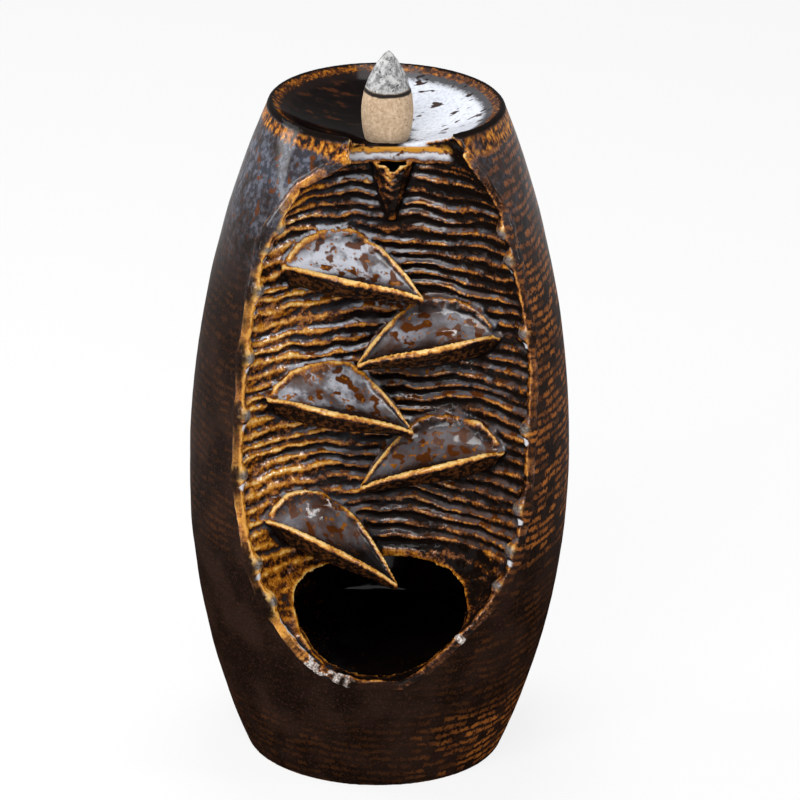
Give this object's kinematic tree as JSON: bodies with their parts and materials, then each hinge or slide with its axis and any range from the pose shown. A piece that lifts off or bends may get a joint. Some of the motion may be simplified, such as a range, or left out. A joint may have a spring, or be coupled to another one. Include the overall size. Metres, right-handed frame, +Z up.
{
  "type": "backflow incense burner",
  "caption": "Hollow ceramic barrel with a dish for a backflow cone over an alcove of rock strata and leaf-shaped cups that lead smoke down to a window into its base.",
  "frame": {"origin": "centre of the foot, on the surface that the burner rests on", "axes": "+Z up, -Y towards the open front, +X to the right seen from the front"},
  "size_m": [0.1026, 0.0983, 0.2001],
  "materials": {
    "glazed_body": "gloss",
    "incense": "matte"
  },
  "bodies": {
    "root": {"burner_body": "glazed_body", "incense_cone": "incense"}
  },
  "joints": []
}
